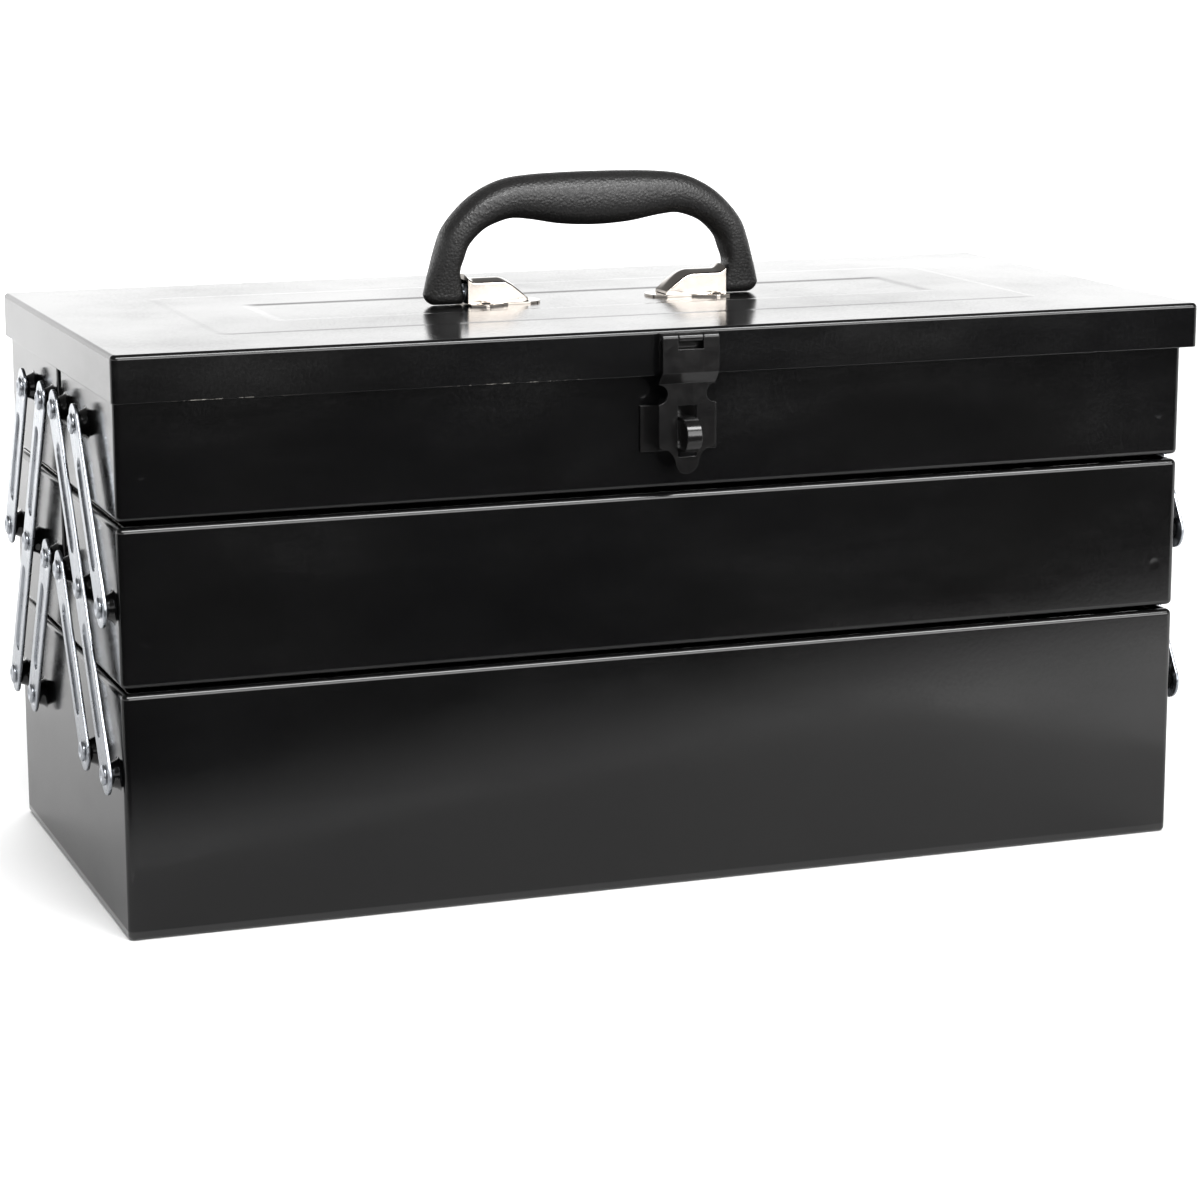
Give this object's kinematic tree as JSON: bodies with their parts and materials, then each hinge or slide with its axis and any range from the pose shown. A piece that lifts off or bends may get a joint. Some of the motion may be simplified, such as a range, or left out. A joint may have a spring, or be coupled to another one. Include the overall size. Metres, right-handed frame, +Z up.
{
  "type": "cantilever toolbox",
  "caption": "Long black steel toolbox whose tiers of trays fold out front and rear on riveted arms under one hinged lid, with a carrying handle and a hasp.",
  "frame": {"origin": "middle of the base's underside", "axes": "+X along the length, -Y to the front where the hasp is, +Z up"},
  "size_m": [0.5058, 0.2477, 0.3056],
  "materials": {
    "gloss_black_paint": "high gloss enamel over sheet steel",
    "zinc_plate": "bright bluish zinc plate",
    "bright_nickel": "polished nickel plate",
    "black_grip": "fine leather grain, satin",
    "satin_black_paint": "semi-gloss black enamel"
  },
  "bodies": {
    "base": {"base_box": "gloss_black_paint", "front_base_inner_rivet_left": "zinc_plate", "front_base_inner_rivet_right": "zinc_plate", "front_base_outer_rivet_left": "zinc_plate", "front_base_outer_rivet_right": "zinc_plate", "rear_base_inner_rivet_left": "zinc_plate", "rear_base_inner_rivet_right": "zinc_plate", "rear_base_outer_rivet_left": "zinc_plate", "rear_base_outer_rivet_right": "zinc_plate"},
    "front_long_arms": {"front_long_arm_left": "zinc_plate", "front_long_arm_right": "zinc_plate"},
    "front_lower_arms": {"front_lower_arm_left": "zinc_plate", "front_lower_arm_right": "zinc_plate"},
    "front_upper_arms": {"front_upper_arm_left": "zinc_plate", "front_upper_arm_right": "zinc_plate"},
    "front_mid_tray": {"front_mid_tray_box": "gloss_black_paint", "front_mid_inner_rivet_left": "zinc_plate", "front_mid_inner_rivet_right": "zinc_plate", "front_mid_middle_rivet_left": "zinc_plate", "front_mid_middle_rivet_right": "zinc_plate", "front_mid_outer_rivet_left": "zinc_plate", "front_mid_outer_rivet_right": "zinc_plate"},
    "front_top_tray": {"front_top_tray_box": "gloss_black_paint", "front_top_inner_rivet_left": "zinc_plate", "front_top_inner_rivet_right": "zinc_plate", "front_top_outer_rivet_left": "zinc_plate", "front_top_outer_rivet_right": "zinc_plate", "staple_plate": "satin_black_paint", "staple_loop": "satin_black_paint"},
    "rear_long_arms": {"rear_long_arm_left": "zinc_plate", "rear_long_arm_right": "zinc_plate"},
    "rear_lower_arms": {"rear_lower_arm_left": "zinc_plate", "rear_lower_arm_right": "zinc_plate"},
    "rear_upper_arms": {"rear_upper_arm_left": "zinc_plate", "rear_upper_arm_right": "zinc_plate"},
    "rear_mid_tray": {"rear_mid_tray_box": "gloss_black_paint", "rear_mid_inner_rivet_left": "zinc_plate", "rear_mid_inner_rivet_right": "zinc_plate", "rear_mid_middle_rivet_left": "zinc_plate", "rear_mid_middle_rivet_right": "zinc_plate", "rear_mid_outer_rivet_left": "zinc_plate", "rear_mid_outer_rivet_right": "zinc_plate"},
    "rear_top_tray": {"rear_top_tray_box": "gloss_black_paint", "rear_top_inner_rivet_left": "zinc_plate", "rear_top_inner_rivet_right": "zinc_plate", "rear_top_outer_rivet_left": "zinc_plate", "rear_top_outer_rivet_right": "zinc_plate", "lid_hinge_tray_leaf": "gloss_black_paint", "lid_hinge_pin": "zinc_plate"},
    "lid": {"lid_shell": "gloss_black_paint", "lid_hinge_lid_leaf": "gloss_black_paint", "handle_bracket_left": "bright_nickel", "handle_bracket_right": "bright_nickel", "hasp_plate": "satin_black_paint", "hasp_pin": "satin_black_paint"},
    "handle": {"handle_grip": "black_grip", "handle_pin_left": "zinc_plate", "handle_pin_right": "zinc_plate"},
    "hasp": {"hasp_leaf": "satin_black_paint"}
  },
  "joints": [
    {"name": "front_fold", "type": "hinge", "parent": "base", "child": "front_long_arms", "pos_m": [0, -0.1, 0.07], "axis": [1, 0, 0], "range_deg": [0, 62]},
    {"name": "front_lower_swing", "type": "hinge", "parent": "base", "child": "front_lower_arms", "pos_m": [0, -0.057, 0.07], "axis": [1, 0, 0], "range_deg": [0, 62]},
    {"name": "front_mid_level", "type": "hinge", "parent": "front_long_arms", "child": "front_mid_tray", "pos_m": [0, -0.057, 0.141], "axis": [1, 0, 0], "range_deg": [-62, 0]},
    {"name": "front_top_level", "type": "hinge", "parent": "front_long_arms", "child": "front_top_tray", "pos_m": [0, -0.014, 0.2115], "axis": [1, 0, 0], "range_deg": [-62, 0]},
    {"name": "front_upper_swing", "type": "hinge", "parent": "front_mid_tray", "child": "front_upper_arms", "pos_m": [0, -0.1, 0.141], "axis": [1, 0, 0], "range_deg": [0, 62]},
    {"name": "rear_fold", "type": "hinge", "parent": "base", "child": "rear_long_arms", "pos_m": [0, 0.1, 0.07], "axis": [-1, 0, 0], "range_deg": [0, 62]},
    {"name": "rear_lower_swing", "type": "hinge", "parent": "base", "child": "rear_lower_arms", "pos_m": [0, 0.057, 0.07], "axis": [-1, 0, 0], "range_deg": [0, 62]},
    {"name": "rear_mid_level", "type": "hinge", "parent": "rear_long_arms", "child": "rear_mid_tray", "pos_m": [0, 0.057, 0.141], "axis": [-1, 0, 0], "range_deg": [-62, 0]},
    {"name": "rear_top_level", "type": "hinge", "parent": "rear_long_arms", "child": "rear_top_tray", "pos_m": [0, 0.014, 0.2115], "axis": [-1, 0, 0], "range_deg": [-62, 0]},
    {"name": "rear_upper_swing", "type": "hinge", "parent": "rear_mid_tray", "child": "rear_upper_arms", "pos_m": [0, 0.1, 0.141], "axis": [-1, 0, 0], "range_deg": [0, 62]},
    {"name": "lid_hinge", "type": "hinge", "parent": "rear_top_tray", "child": "lid", "pos_m": [0, 0.1135, 0.2255], "axis": [-1, 0, 0], "range_deg": [0, 155]},
    {"name": "handle_swing", "type": "hinge", "parent": "lid", "child": "handle", "pos_m": [0, -0.005, 0.2527], "axis": [1, 0, 0], "range_deg": [-78, 78]},
    {"name": "hasp_swing", "type": "hinge", "parent": "lid", "child": "hasp", "pos_m": [0, -0.1251, 0.2444], "axis": [-1, 0, 0], "range_deg": [0, 170]}
  ],
  "couplings": [
    {"joint": "front_lower_swing", "follows": "front_fold", "ratio": 1},
    {"joint": "front_mid_level", "follows": "front_fold", "ratio": -1},
    {"joint": "front_top_level", "follows": "front_fold", "ratio": -1},
    {"joint": "front_upper_swing", "follows": "front_fold", "ratio": 1},
    {"joint": "rear_fold", "follows": "front_fold", "ratio": 1},
    {"joint": "rear_lower_swing", "follows": "front_fold", "ratio": 1},
    {"joint": "rear_mid_level", "follows": "front_fold", "ratio": -1},
    {"joint": "rear_top_level", "follows": "front_fold", "ratio": -1},
    {"joint": "rear_upper_swing", "follows": "front_fold", "ratio": 1},
    {"joint": "lid_hinge", "follows": "front_fold", "ratio": 2.5}
  ]
}
